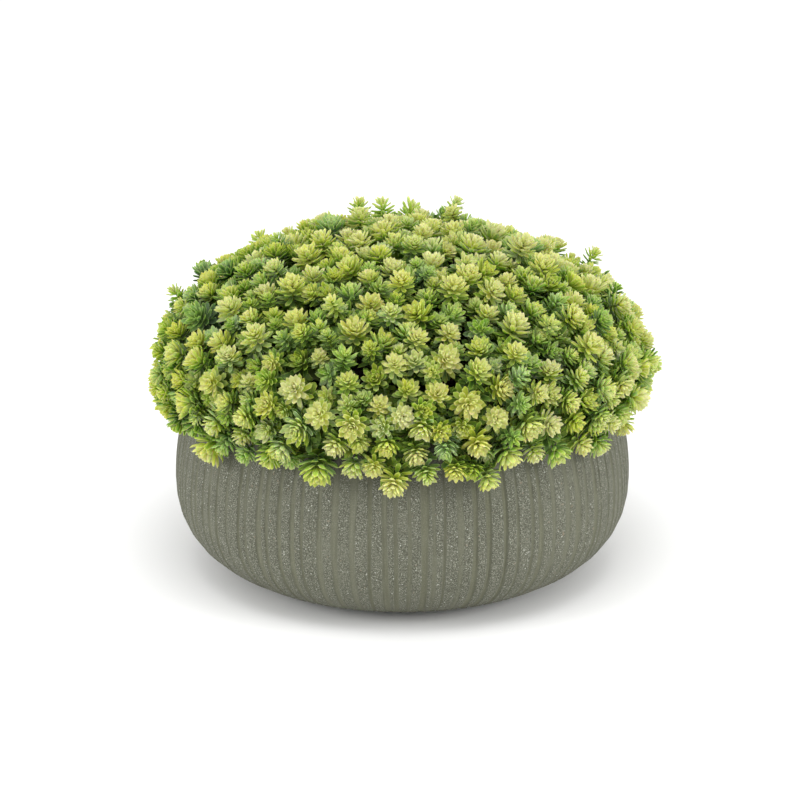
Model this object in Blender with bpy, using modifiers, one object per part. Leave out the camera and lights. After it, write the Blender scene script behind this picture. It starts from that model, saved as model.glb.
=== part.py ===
"""Potted stonecrop arrangement: a ribbed bowl, its potting soil and a cushion of stonecrop sprays.

Metres, +Z up. The origin is the middle of the bowl's flat foot, where it rests.
"""

import math
from dataclasses import dataclass

import bmesh
import bpy
import numpy as np
from mathutils import Matrix, Vector

SEED = 35
GOLDEN_ANGLE = math.pi * (3 - math.sqrt(5))
# Pieces that touch in the real thing stay this far apart
GAP = 0.0003
# A turned profile's ends join on the axis within this distance
MERGE = 0.0001

# Bowl: widest below its middle, on a flat foot; its belly is a rounded curve with these two powers
BOWL_RADIUS = 0.172
BOWL_WAIST = 0.070
BOWL_HEIGHT = 0.1524
FOOT_RADIUS = 0.086
RIM_RADIUS = 0.153
BELLY_POWER = 2.33
BELLY_ROUNDING = 2.29
RIM_WALL = 0.009
FLOOR_THICKNESS = 0.014
BELLY_BANDS = 4
SHOULDER_BANDS = 2

# Ribs from the rim to the foot; their edges wander sideways by a share of half a rib
RIB_COUNT = 80
RIB_DEPTH = 0.0014
RIB_WANDER = 0.22

# Potting soil, and the hollow of the bowl that it fills
CAVITY_SIDES = 26
CAVITY_BANDS = 3
SOIL_BELOW_RIM = 0.013
SOIL_CROWN = 0.008
SOIL_RINGS = 2

# Cushion: the smooth form that the tips of the heads reach, down to the edge of its skirt
CUSHION_RADIUS = 0.191
CUSHION_RISE = 0.104
CUSHION_MIDDLE = 0.156
SKIRT_HEIGHT = 0.118
CUSHION_STEPS = 600

# Heads: height in units of the head's radius; tilts are sideways parts of a unit direction
HEAD_COUNT = 278
HEAD_RADIUS = 0.0128
HEAD_SPREAD = 0.16
HEAD_HEIGHT = 1.65
HEAD_SHARE_OF_SPACE = 0.53
HEAD_SHIFT = 0.0042
HEAD_LIFT = 0.0045
HEAD_TILT = 0.28
HEAD_OFF_BOWL = 0.0125
DROOP = 0.75
DROOP_FROM = math.radians(70)
# The skirt's edge hangs in lobes round the bowl: lobes in a turn, metres and turn of each wave
SKIRT_WAVES = ((5, 0.0040, 3.35), (9, 0.0035, 5.65), (14, 0.0035, 5.66))
# Some heads are sprigs that stand above the rest: azimuth and polar angle of each on the cushion
SPRIG_PLACES = (
    (111, 34), (99, 30), (81, 33), (67, 33), (25, 58), (172, 70), (133, 62), (52, 68), (93, 74), (240, 40), (318, 52),
)
SPRIG_LIFT = 0.011
SPRIG_SIZE = 0.78

# One head as radius and height in units of its own radius
WHORL_LEAVES = 4
NECK = (0.38, 0.10)
SHOULDER = (0.46, 0.78)
LOWER_LEAF_TIP = (1.0, 0.24)
UPPER_LEAF_TIP = (0.90, 1.20)

# Sprays: each row's distance over the cushion from its top, and how many stand in it
SPRAY_ROWS = ((0.0, 1), (0.074, 6), (0.147, 12), (0.220, 17))
FORK_DEPTH = 0.056
FORK_LOWEST = 0.180
NECK_BORDER = 0.0075
# Core of packed lower leaves under a spray's heads
CORE_BELOW_HEAD = 0.008
CORE_OUTSET = 0.016
CORE_BORDER = 0.0015
CORE_OFF_BOWL = 0.010
STALK_SINK = 0.35
# Stem that stands in the soil; its foot is nearer to the bowl's axis than its fork
STEM_RADIUS = 0.0032
STEM_SIDES = 4
STEM_DEPTH = 0.024
STEM_SINK = 0.5
ROOT_REACH = 0.84

# Name, colour and roughness
BOWL_MATERIAL = ("sage_stoneware", (0.200, 0.205, 0.155), 0.85)
SOIL_MATERIAL = ("potting_soil", (0.035, 0.026, 0.018), 0.95)
LEAF_MATERIALS = (
    ("lime_leaf", (0.52, 0.58, 0.14), 0.5),
    ("green_leaf", (0.20, 0.33, 0.07), 0.5),
    ("blue_green_leaf", (0.12, 0.25, 0.12), 0.5),
)
LEAF_SHARES = (0.64, 0.22, 0.14)


@dataclass
class Head:
    """One head of leaves: its top, the way it points, its radius and its turn about its axis."""

    tip: Vector
    axis: Vector
    size: float
    turn: float

    def point_below(self, distance):
        return self.tip - self.axis * (HEAD_HEIGHT * self.size + distance)


@dataclass
class Spray:
    """The heads over one patch of cushion, and the fork where the stem below them branches."""

    patch: Vector
    fork: Vector
    heads: list
    corners: list

    def middle(self):
        return sum(self.corners, Vector()) / len(self.corners)


def clear_scene():
    for item in list(bpy.data.objects):
        bpy.data.objects.remove(item)


def new_collection(name):
    collection = bpy.data.collections.new(name)
    bpy.context.scene.collection.children.link(collection)
    return collection


def make_material(name, colour, roughness):
    material = bpy.data.materials.new(name)
    material.use_nodes = True
    shader = material.node_tree.nodes["Principled BSDF"]
    shader.inputs["Base Color"].default_value = (*colour, 1.0)
    shader.inputs["Roughness"].default_value = roughness
    shader.inputs["Metallic"].default_value = 0.0
    return material


def add_object(name, mesh, collection):
    item = bpy.data.objects.new(name, mesh)
    collection.objects.link(item)
    return item


def paint(item, material):
    item.data.materials.clear()
    item.data.materials.append(material)


def apply_modifiers(item):
    bpy.context.view_layer.update()
    graph = bpy.context.evaluated_depsgraph_get()
    mesh = bpy.data.meshes.new_from_object(item.evaluated_get(graph))
    item.modifiers.clear()
    item.data = mesh


def turned(name, profile, steps, collection):
    """A profile of (radius, height) points, outside first from top to bottom, turned about Z."""
    mesh = bpy.data.meshes.new(name)
    points = [(radius, 0.0, height) for radius, height in profile]
    mesh.from_pydata(points, [(i, i + 1) for i in range(len(points) - 1)], [])
    item = add_object(name, mesh, collection)
    screw = item.modifiers.new("turn", "SCREW")
    screw.steps = steps
    screw.render_steps = steps
    screw.use_merge_vertices = True
    screw.merge_threshold = MERGE
    apply_modifiers(item)
    return item


def boolean(item, operation, collection):
    """Join to an item, or cut from it, all that is in a collection, and empty the collection."""
    modifier = item.modifiers.new(operation.lower(), "BOOLEAN")
    modifier.operation = operation
    modifier.operand_type = "COLLECTION"
    modifier.collection = collection
    modifier.solver = "EXACT"
    apply_modifiers(item)
    for piece in list(collection.objects):
        bpy.data.objects.remove(piece)


def bowl_radius(height):
    """Radius of the bowl's outside at a height, over the ribs' feet."""
    if height >= BOWL_WAIST:
        rise = (height - BOWL_WAIST) / (BOWL_HEIGHT - BOWL_WAIST)
        return BOWL_RADIUS - (BOWL_RADIUS - RIM_RADIUS) * rise ** 2
    drop = (BOWL_WAIST - height) / BOWL_WAIST
    swell = (1 - drop ** BELLY_POWER) ** (1 / BELLY_ROUNDING)
    return FOOT_RADIUS + (BOWL_RADIUS - FOOT_RADIUS) * swell


def keep_off_bowl(point, clearance):
    """Push a point that hangs beside the bowl out from its wall."""
    if point.z > BOWL_HEIGHT + clearance:
        return point
    radius = point.to_2d().length
    wanted = bowl_radius(min(point.z, BOWL_HEIGHT)) + clearance
    if radius >= wanted:
        return point
    return Vector((point.x * wanted / radius, point.y * wanted / radius, point.z))


def bowl_heights():
    """Heights of the bowl's rings from the rim down, closer together where the belly turns in."""
    shoulder = np.linspace(BOWL_HEIGHT, BOWL_WAIST, SHOULDER_BANDS + 1)
    turns = np.linspace(0, math.pi / 2, BELLY_BANDS + 1)[1:]
    belly = BOWL_WAIST * (1 - np.sin(turns))
    return [*shoulder, *belly]


def cavity_profile(clearance):
    """The bowl's inside from the soil's edge to the floor, drawn in by a clearance."""
    heights = np.linspace(BOWL_HEIGHT - SOIL_BELOW_RIM, FLOOR_THICKNESS, CAVITY_BANDS + 1)
    wall = [(bowl_radius(height) - RIM_WALL - clearance, height) for height in heights]
    floor_radius, floor_height = wall[-1]
    return [*wall[:-1], (floor_radius, floor_height + clearance), (0.0, floor_height + clearance)]


def dissolve_axis(mesh):
    """Make each flat end of a turned body one face, without a point on the axis."""
    body = bmesh.new()
    body.from_mesh(mesh)
    middle = [point for point in body.verts if point.co.to_2d().length < GAP]
    bmesh.ops.dissolve_verts(body, verts=middle)
    body.to_mesh(mesh)
    body.free()


def raise_ribs(mesh, rng):
    """Each second column of points stands out as a rib; all columns wander a little sideways."""
    columns = 2 * RIB_COUNT
    step = 2 * math.pi / columns
    wander = rng.uniform(-RIB_WANDER, RIB_WANDER, columns) * step
    for point in mesh.vertices:
        radius = math.hypot(point.co.x, point.co.y)
        column = round(math.atan2(point.co.y, point.co.x) / step) % columns
        angle = column * step + wander[column]
        radius -= RIB_DEPTH * (column % 2)
        point.co.x = radius * math.cos(angle)
        point.co.y = radius * math.sin(angle)


def make_bowl(collection, cutters, rng):
    rings = [(bowl_radius(height), height) for height in bowl_heights()]
    profile = [(0.0, BOWL_HEIGHT), *rings, (0.0, 0.0)]
    bowl = turned("ribbed_bowl", profile, 2 * RIB_COUNT, collection)
    dissolve_axis(bowl.data)
    raise_ribs(bowl.data, rng)
    mouth_radius = RIM_RADIUS - RIM_WALL
    above = BOWL_HEIGHT + RIM_WALL
    mouth = [(0.0, above), (mouth_radius, above), (mouth_radius, BOWL_HEIGHT)]
    turned("cavity", [*mouth, *cavity_profile(0.0)], CAVITY_SIDES, cutters)
    boolean(bowl, "DIFFERENCE", cutters)
    paint(bowl, make_material(*BOWL_MATERIAL))


def meridian_length(polar):
    """Metres of cushion for each radian of polar angle."""
    return np.sqrt((CUSHION_RADIUS * np.cos(polar)) ** 2 + (CUSHION_RISE * np.sin(polar)) ** 2)


def cushion_point(polar, azimuth):
    across = CUSHION_RADIUS * math.sin(polar)
    height = CUSHION_MIDDLE + CUSHION_RISE * math.cos(polar)
    return Vector((across * math.cos(azimuth), across * math.sin(azimuth), height))


def cushion_normal(polar, azimuth):
    across = math.sin(polar) / CUSHION_RADIUS
    upward = math.cos(polar) / CUSHION_RISE
    return Vector((across * math.cos(azimuth), across * math.sin(azimuth), upward)).normalized()


def cushion_tables():
    """Polar angles, with the share of the cushion's area and the distance over it above each."""
    skirt = math.acos((SKIRT_HEIGHT - CUSHION_MIDDLE) / CUSHION_RISE)
    polar = np.linspace(0, skirt, CUSHION_STEPS)
    step = polar[1]
    area = np.cumsum(np.sin(polar) * meridian_length(polar))
    distance = np.cumsum(meridian_length(polar)) * step
    return polar, area / area[-1], distance - distance[0]


def droop(polar):
    """How far the heads of the skirt hang their tips, from none above it to the most at its edge."""
    skirt = cushion_tables()[0][-1]
    return DROOP * max(0.0, (polar - DROOP_FROM) / (skirt - DROOP_FROM))


def skirt_hang(polar, azimuth):
    """How much lower than the cushion a head of the skirt hangs, in the lobe it is in."""
    share = droop(polar) / DROOP
    return share * sum(height * math.sin(lobes * azimuth + turn) for lobes, height, turn in SKIRT_WAVES)


def choose_sprigs(heads):
    """The heads nearest to the places where sprigs stand above the cushion."""
    places = [cushion_point(math.radians(polar), math.radians(azimuth)) for azimuth, polar in SPRIG_PLACES]
    return [min(heads, key=lambda head: (head.tip - place).length) for place in places]


def place_heads(rng):
    """The heads, spaced over the cushion like seeds on a sunflower."""
    polar_table, area_table, _ = cushion_tables()
    heads = []
    for index in range(HEAD_COUNT):
        polar = float(np.interp((index + 0.5) / HEAD_COUNT, area_table, polar_table))
        shift = rng.uniform(-HEAD_SHIFT, HEAD_SHIFT, 2)
        azimuth = index * GOLDEN_ANGLE + shift[0] / (CUSHION_RADIUS * math.sin(polar))
        polar = polar + shift[1] / float(meridian_length(polar))
        normal = cushion_normal(polar, azimuth)
        lift = rng.uniform(-HEAD_LIFT, HEAD_LIFT)
        lean = Vector(rng.uniform(-HEAD_TILT, HEAD_TILT, 3)) - Vector((0, 0, droop(polar)))
        tip = cushion_point(polar, azimuth) + lift * normal
        tip.z -= skirt_hang(polar, azimuth)
        size = HEAD_RADIUS * (1 + float(rng.uniform(-HEAD_SPREAD, HEAD_SPREAD)))
        head = Head(tip, (normal + lean).normalized(), size, float(rng.uniform(0, 2 * math.pi)))
        base = head.point_below(0)
        head.tip = tip + keep_off_bowl(base, HEAD_OFF_BOWL) - base
        heads.append(head)
    for sprig in choose_sprigs(heads):
        sprig.tip = sprig.tip + SPRIG_LIFT * Vector((0, 0, 1)).lerp(sprig.axis, 0.5)
        sprig.size *= SPRIG_SIZE
    return heads


def fit_heads(heads):
    """Make no head larger than its share of the space to its nearest neighbour."""
    middles = np.array([head.point_below(-head.size) for head in heads])
    apart = np.linalg.norm(middles[:, None] - middles[None], axis=2) + np.eye(len(heads))
    for head, space in zip(heads, apart.min(axis=1)):
        head.size = min(head.size, float(space) * HEAD_SHARE_OF_SPACE)


def place_patches():
    """The middle of each spray's patch of cushion, and the fork below it where its stem branches."""
    polar_table, _, distance_table = cushion_tables()
    places = []
    for row, (distance, count) in enumerate(SPRAY_ROWS):
        polar = float(np.interp(distance, distance_table, polar_table))
        for index in range(count):
            azimuth = 2 * math.pi * index / count + row * GOLDEN_ANGLE
            patch = cushion_point(polar, azimuth)
            fork = patch - FORK_DEPTH * cushion_normal(polar, azimuth)
            fork.z = max(fork.z, FORK_LOWEST)
            places.append((patch, fork))
    return places


def keep_in_cell(point, patch, patches, border):
    """Pull a point back to its own side of the planes halfway to the other sprays' patches."""
    for other in patches:
        if other is patch:
            continue
        away = (other - patch).normalized()
        over = (point - (patch + other) / 2).dot(away) + border
        if over > 0:
            point = point - over * away
    return point


def core_corner(head, spray, patches):
    """Corner of a spray's leafy core, below one of its heads and out towards the patch's edge."""
    middle_line = (spray.patch - spray.fork).normalized()
    below = head.point_below(CORE_BELOW_HEAD)
    sideways = (below - spray.fork) - (below - spray.fork).dot(middle_line) * middle_line
    corner = below + sideways.normalized() * CORE_OUTSET
    return keep_off_bowl(keep_in_cell(corner, spray.patch, patches, CORE_BORDER), CORE_OFF_BOWL)


def make_sprays(heads):
    """Share the heads among the sprays' patches, bend each clear of the next patch, and set the cores."""
    places = place_patches()
    patches = [patch for patch, _ in places]
    sprays = [Spray(patch, fork, [], [fork]) for patch, fork in places]
    for head in heads:
        spray = min(sprays, key=lambda one: (one.patch - head.tip).length)
        base = keep_in_cell(head.point_below(0), spray.patch, patches, NECK_BORDER)
        head.axis = (head.tip - base).normalized()
        spray.heads.append(head)
        spray.corners.append(core_corner(head, spray, patches))
    return sprays


def soil_edge():
    return bowl_radius(BOWL_HEIGHT - SOIL_BELOW_RIM) - RIM_WALL - GAP


def soil_height(radius):
    """Height of the soil, heaped a little in the middle."""
    edge = BOWL_HEIGHT - SOIL_BELOW_RIM
    return edge + SOIL_CROWN * (1 - (radius / soil_edge()) ** 2)


def place_between(item, start, end):
    """Move a body made along Z, with its middle at the origin, to run from start to end."""
    along = end - start
    turn = along.to_track_quat("Z", "Y").to_matrix().to_4x4()
    item.data.transform(Matrix.Translation((start + end) / 2) @ turn)


def make_rod(name, start, end, radius, collection):
    mesh = bpy.data.meshes.new(name)
    body = bmesh.new()
    length = (end - start).length
    size = {"segments": STEM_SIDES, "radius1": radius, "radius2": radius, "depth": length}
    bmesh.ops.create_cone(body, cap_ends=True, **size)
    body.to_mesh(mesh)
    body.free()
    rod = add_object(name, mesh, collection)
    place_between(rod, start, end)
    return rod


def stem_line(spray):
    """Foot and head of a spray's stem, from inside the soil to well inside the core."""
    top = spray.fork.lerp(spray.middle(), STEM_SINK)
    foot = Vector((spray.fork.x * ROOT_REACH, spray.fork.y * ROOT_REACH, 0.0))
    foot.z = soil_height(foot.to_2d().length) - STEM_DEPTH
    return foot, top


def make_soil(collection, cutters, sprays):
    radii = np.linspace(0, soil_edge(), SOIL_RINGS + 1)[1:]
    top = [(radius, soil_height(radius)) for radius in radii]
    profile = [(0.0, soil_height(0.0)), *top, *cavity_profile(GAP)[1:]]
    soil = turned("potting_soil", profile, CAVITY_SIDES, collection)
    hole_radius = STEM_RADIUS + GAP / math.cos(math.pi / STEM_SIDES)
    for foot, top in map(stem_line, sprays):
        down = (foot - top).normalized()
        make_rod("hole", foot + down * GAP, top, hole_radius, cutters)
    boolean(soil, "DIFFERENCE", cutters)
    paint(soil, make_material(*SOIL_MATERIAL))


def whorl(body, frame, radius, height, turn):
    """Points of one whorl around a head's axis, in units of the head's radius."""
    points = []
    for index in range(WHORL_LEAVES):
        angle = turn + 2 * math.pi * index / WHORL_LEAVES
        place = Vector((radius * math.cos(angle), radius * math.sin(angle), height))
        points.append(body.verts.new(frame @ place))
    return points


def make_head(name, head, stalk_foot, collection):
    """A stalk that widens from its foot, two whorls of pointed leaves and a pointed bud."""
    turn = head.axis.to_track_quat("Z", "Y")
    frame = Matrix.LocRotScale(head.point_below(0), turn, Vector.Fill(3, head.size))
    half = math.pi / WHORL_LEAVES
    body = bmesh.new()
    foot = body.verts.new(stalk_foot)
    bud = body.verts.new(head.tip)
    neck = whorl(body, frame, *NECK, head.turn)
    shoulder = whorl(body, frame, *SHOULDER, head.turn + half)
    lower_tips = whorl(body, frame, *LOWER_LEAF_TIP, head.turn + half)
    upper_tips = whorl(body, frame, *UPPER_LEAF_TIP, head.turn + 2 * half)
    for i in range(WHORL_LEAVES):
        after = (i + 1) % WHORL_LEAVES
        body.faces.new((foot, neck[after], neck[i]))
        body.faces.new((bud, shoulder[i], shoulder[after]))
        lower_leaf = (neck[i], neck[after], shoulder[i])
        upper_leaf = (shoulder[i], neck[after], shoulder[after])
        for root, leaf_tip in ((lower_leaf, lower_tips[i]), (upper_leaf, upper_tips[i])):
            for corner in range(3):
                body.faces.new((root[corner], root[(corner + 1) % 3], leaf_tip))
    mesh = bpy.data.meshes.new(name)
    body.to_mesh(mesh)
    body.free()
    return add_object(name, mesh, collection)


def make_core(name, corners, collection):
    """The closed hull round the corners of a spray's packed lower leaves."""
    mesh = bpy.data.meshes.new(name)
    body = bmesh.new()
    for corner in corners:
        body.verts.new(corner)
    hull = bmesh.ops.convex_hull(body, input=body.verts)
    inner = [item for item in hull["geom_interior"] if isinstance(item, bmesh.types.BMVert)]
    bmesh.ops.delete(body, geom=inner, context="VERTS")
    body.to_mesh(mesh)
    body.free()
    return add_object(name, mesh, collection)


def build_spray(name, spray, material, collection, pieces):
    """A stem, a leafy core and the heads that stand out of it, joined in one body."""
    body = make_core(name, spray.corners, collection)
    make_rod("stem", *stem_line(spray), STEM_RADIUS, pieces)
    middle = spray.middle()
    for head, corner in zip(spray.heads, spray.corners[1:]):
        make_head("head", head, corner.lerp(middle, STALK_SINK), pieces)
    boolean(body, "UNION", pieces)
    paint(body, material)


def main():
    clear_scene()
    plant = new_collection("potted_stonecrop")
    cutters = new_collection("cutters")
    pieces = new_collection("spray_pieces")
    rng = np.random.default_rng(SEED)
    make_bowl(plant, cutters, rng)
    heads = place_heads(rng)
    fit_heads(heads)
    sprays = make_sprays(heads)
    make_soil(plant, cutters, sprays)
    materials = [make_material(*values) for values in LEAF_MATERIALS]
    greens = rng.choice(len(materials), len(sprays), p=LEAF_SHARES)
    for index, spray in enumerate(sprays):
        build_spray(f"stonecrop_spray_{index + 1:02d}", spray, materials[greens[index]], plant, pieces)


main()
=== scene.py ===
# %% [markdown]
# # A bowl of stonecrop
#
# The object is a low stoneware bowl with gritty ribs, filled with soil, and a cushion of stonecrop
# that spills over its rim. This file dresses the imported solid model: the bowl, the soil and each of
# the 36 sprays get a finer piece in the same place, and every piece gets its finish.
#
# The imported model is loaded first. Nothing in it is moved, and its box is kept, so that the
# sprays' points can be held inside it.

# %% Load the imported model
import math
from dataclasses import dataclass

import bmesh
import bpy
import numpy as np
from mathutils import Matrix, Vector, noise


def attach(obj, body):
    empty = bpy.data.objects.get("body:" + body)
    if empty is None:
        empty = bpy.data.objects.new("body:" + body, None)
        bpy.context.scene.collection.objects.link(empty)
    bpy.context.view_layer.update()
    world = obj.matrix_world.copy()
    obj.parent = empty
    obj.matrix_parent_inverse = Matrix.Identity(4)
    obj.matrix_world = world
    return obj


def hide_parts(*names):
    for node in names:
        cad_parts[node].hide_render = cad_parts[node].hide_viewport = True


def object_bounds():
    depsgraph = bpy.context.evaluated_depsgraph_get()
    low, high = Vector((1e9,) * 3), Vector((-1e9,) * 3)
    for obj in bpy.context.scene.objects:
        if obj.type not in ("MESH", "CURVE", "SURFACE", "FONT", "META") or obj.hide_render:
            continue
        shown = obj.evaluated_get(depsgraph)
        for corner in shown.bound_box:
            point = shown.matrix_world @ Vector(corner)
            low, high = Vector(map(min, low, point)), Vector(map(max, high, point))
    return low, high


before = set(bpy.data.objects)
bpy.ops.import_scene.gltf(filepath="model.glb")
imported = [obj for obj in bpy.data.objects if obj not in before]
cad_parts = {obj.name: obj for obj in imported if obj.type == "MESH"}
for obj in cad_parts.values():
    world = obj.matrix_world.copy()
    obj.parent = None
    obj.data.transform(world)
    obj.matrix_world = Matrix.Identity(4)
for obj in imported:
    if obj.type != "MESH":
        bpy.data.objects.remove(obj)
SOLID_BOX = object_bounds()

print("solid nodes:", len(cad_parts))

# %% [markdown]
# ## Camera
#
# The photograph looks down on the bowl by about 20 degrees from a few metres away, with a long
# lens, so near and far heads look nearly the same size. The bowl's axis stands a hair to the right
# of the picture's middle, so the camera aims a hair to its left.

# %% Camera
CAMERA_ELEVATION = math.radians(19.5)
CAMERA_DISTANCE = 2.58
CAMERA_LENS = 153.7
CAMERA_AIM = Vector((-0.0018, 0.0, 0.1256))


def link(item):
    bpy.context.scene.collection.objects.link(item)
    return item


def add_camera():
    camera = link(bpy.data.objects.new("camera", bpy.data.cameras.new("camera")))
    back = Vector((0.0, -math.cos(CAMERA_ELEVATION), math.sin(CAMERA_ELEVATION)))
    camera.location = CAMERA_AIM + CAMERA_DISTANCE * back
    camera.rotation_mode = "QUATERNION"
    camera.rotation_quaternion = (-back).to_track_quat("-Z", "Y")
    camera.data.lens = CAMERA_LENS
    bpy.context.scene.camera = camera
    return camera


print("camera at", [round(x, 3) for x in add_camera().location])

# %% [markdown]
# ## Maths for the finishes
#
# A finish is a small program of nodes. Written as Python it reads like the formula it is, so one
# class wraps a socket and lets it be added, taken away and multiplied, and one method makes every
# other node: its settings first, then what goes into its sockets.

# %% Shader sockets that do maths
class Socket:
    """A node's output. Maths on it adds Math nodes to its finish."""

    def __init__(self, finish, output):
        self.finish = finish
        self.output = output

    def __add__(self, other):
        return self.finish.maths("ADD", self, other)

    def __radd__(self, other):
        return self.finish.maths("ADD", other, self)

    def __sub__(self, other):
        return self.finish.maths("SUBTRACT", self, other)

    def __rsub__(self, other):
        return self.finish.maths("SUBTRACT", other, self)

    def __mul__(self, other):
        return self.finish.maths("MULTIPLY", self, other)

    def __rmul__(self, other):
        return self.finish.maths("MULTIPLY", other, self)


class Finish:
    """A material with one Principled shader, and the nodes that feed it."""

    def __init__(self, name, constants):
        self.material = bpy.data.materials.new(name)
        self.material.use_nodes = True
        self.tree = self.material.node_tree
        self.shader = self.tree.nodes["Principled BSDF"]
        for socket, value in constants.items():
            self.shader.inputs[socket].default_value = value

    def plug(self, socket, value):
        if isinstance(value, Socket):
            self.tree.links.new(value.output, socket)
        else:
            socket.default_value = value

    def node(self, kind, inputs=(), output=0, **settings):
        made = self.tree.nodes.new("ShaderNode" + kind)
        for place, colour in settings.pop("stops", ()):
            ends = {0.0: 0, 1.0: -1}
            ramp = made.color_ramp.elements
            stop = ramp[ends[place]] if place in ends else ramp.new(place)
            stop.color = (*colour, 1.0)
        for name, value in settings.items():
            setattr(made, name, value)
        for name, value in dict(inputs).items():
            self.plug(made.inputs[name], value)
        return Socket(self, made.outputs[output])

    def maths(self, operation, *values):
        return self.node("Math", dict(enumerate(values)), operation=operation)

    def vector(self, operation, *values):
        return self.node("VectorMath", dict(enumerate(values)), operation=operation)

    def clamp(self, value):
        return self.node("Clamp", {"Value": value})

    def between(self, value, low, high):
        """0 below low and 1 above high, with a smooth step between them."""
        inputs = {"Value": value, "From Min": low, "From Max": high}
        return self.node("MapRange", inputs, interpolation_type="SMOOTHSTEP")

    def attribute(self, name):
        return self.node("Attribute", output="Fac", attribute_name=name)

    def position(self):
        return self.node("TexCoord", output="Object")

    def noise(self, scale, detail=2.0, roughness=0.5):
        inputs = {"Vector": self.position(), "Scale": scale, "Detail": detail}
        return self.node("TexNoise", {**inputs, "Roughness": roughness})

    def mix(self, factor, first, second):
        """Two colours, mixed by a factor."""
        inputs = {0: factor, 6: self.colour(first), 7: self.colour(second)}
        return self.node("Mix", inputs, output=2, data_type="RGBA")

    def colour(self, value):
        return value if isinstance(value, Socket) else (*value, 1.0)

    def bump(self, height, depth, strength=1.0):
        """Raise the surface by a height from 0 to 1 times a depth in metres."""
        inputs = {"Height": height, "Distance": depth, "Strength": strength}
        self.plug(self.shader.inputs["Normal"], self.node("Bump", inputs))

    def set(self, name, value):
        self.plug(self.shader.inputs[name], value)


print("finish maths ready")

# %% [markdown]
# ## Floor and light
#
# The photograph is a studio picture on white: light comes from all around, a little more from
# above, so there are no hard shadows and the gaps between the heads go dark by themselves. A white
# sky gives the light from all around, one wide lamp above and two soft ones at the sides do the
# rest, and the floor is nearly white.

# %% Floor and light
FLOOR_RADIUS = 9.0
FLOOR_SIDES = 96
FLOOR_COLOUR = (0.90, 0.90, 0.90)
SKY_STRENGTH = 1.0
# Name, place, width and watts of each lamp
LAMPS = (
    ("lamp_above", (0.0, -0.6, 1.9), 1.3, 15),
    ("lamp_left", (-2.0, -0.9, 0.9), 1.0, 21),
    ("lamp_right", (2.0, -0.9, 0.9), 1.0, 23),
)


def add_floor():
    bpy.ops.mesh.primitive_circle_add(vertices=FLOOR_SIDES, radius=FLOOR_RADIUS, fill_type="NGON")
    floor = bpy.context.object
    floor.name = "floor"
    finish = Finish("white_floor", {"Roughness": 0.9, "Base Color": (*FLOOR_COLOUR, 1.0)})
    floor.data.materials.append(finish.material)


def add_sky():
    world = bpy.data.worlds.new("white_sky")
    world.use_nodes = True
    world.node_tree.nodes["Background"].inputs["Color"].default_value = (1.0, 1.0, 1.0, 1.0)
    world.node_tree.nodes["Background"].inputs["Strength"].default_value = SKY_STRENGTH
    bpy.context.scene.world = world


def add_lamp(name, place, size, watts):
    lamp = bpy.data.lights.new(name, "AREA")
    lamp.shape = "DISK"
    lamp.size = size
    lamp.energy = watts
    item = link(bpy.data.objects.new(name, lamp))
    item.location = place
    item.rotation_mode = "QUATERNION"
    item.rotation_quaternion = (CAMERA_AIM - Vector(place)).to_track_quat("-Z", "Y")


add_floor()
add_sky()
for lamp in LAMPS:
    add_lamp(*lamp)
bpy.context.scene.view_settings.view_transform = "Standard"

# %% [markdown]
# ## Meshes from arrays
#
# There are thousands of leaves, so their points are worked out as arrays, whole heads at a time.
# One helper turns an array of points and an array of triangles into a piece. It also stores a
# number for each point under a name, which a finish can read with an Attribute node: this is how
# a leaf knows which end is its tip.

# %% Make a piece from arrays
BODY = "root"


def add_piece(name, points, faces, finish, values=None, sharp_angle=60):
    mesh = bpy.data.meshes.new(name)
    mesh.from_pydata(points, [], faces)
    for words, numbers in (values or {}).items():
        attribute = mesh.attributes.new(words, "FLOAT", "POINT")
        attribute.data.foreach_set("value", np.asarray(numbers, np.float32))
    mesh.shade_smooth()
    mesh.set_sharp_from_angle(angle=math.radians(sharp_angle))
    mesh.materials.append(finish.material)
    return link(bpy.data.objects.new(name, mesh))


def stand_in(piece, node):
    """The piece rides on the body and replaces the solid node, which is hidden."""
    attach(piece, BODY)
    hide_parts(node)


def grid_faces(rows, columns):
    """Squares between the points of a grid whose columns run round in a ring."""
    row, column = np.meshgrid(np.arange(rows - 1), np.arange(columns), indexing="ij")
    after = (column + 1) % columns
    corners = (row * columns + column, row * columns + after)
    below = [corner + columns for corner in corners]
    return np.stack([corners[0], corners[1], below[1], below[0]], -1).reshape(-1, 4)


def circle_of(count):
    """Angles round a circle of radius 1, and its points."""
    angles = np.linspace(0, 2 * math.pi, count, endpoint=False)
    return angles, np.stack([np.cos(angles), np.sin(angles)], -1)


def ring_piece(name, rings, finish, values=None):
    """A closed piece from rings of points, with its first and last ring filled."""
    columns = len(rings[0])
    last = (len(rings) - 1) * columns
    faces = [list(reversed(face)) for face in grid_faces(len(rings), columns)]
    faces.append(list(range(columns)))
    faces.append([last + column for column in reversed(range(columns))])
    return add_piece(name, np.concatenate(rings), faces, finish, values)


print("mesh helpers ready")

# %% [markdown]
# ## Bowl
#
# The real bowl is cast stoneware: widest below its middle, on a flat foot, with ribs about 11 mm
# apart that run from rim to foot. They were drawn by hand, so no two are alike. A turned profile
# gives the form, and a formula sinks the grooves into it: each has its own width, depth and place,
# and wanders a little on its way down. Two values are stored with every point: how much of a rib it
# is on, because the grit sits on the ribs, and how near it is to a groove's edge, where a dark line
# of painted shade is drawn.

# %% Form of the bowl
BOWL_RADIUS = 0.172
BOWL_WAIST = 0.070
BOWL_HEIGHT = 0.1524
FOOT_RADIUS = 0.086
RIM_RADIUS = 0.153
BELLY_POWER = 2.33
BELLY_ROUNDING = 2.29
RIM_WALL = 0.009


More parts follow.
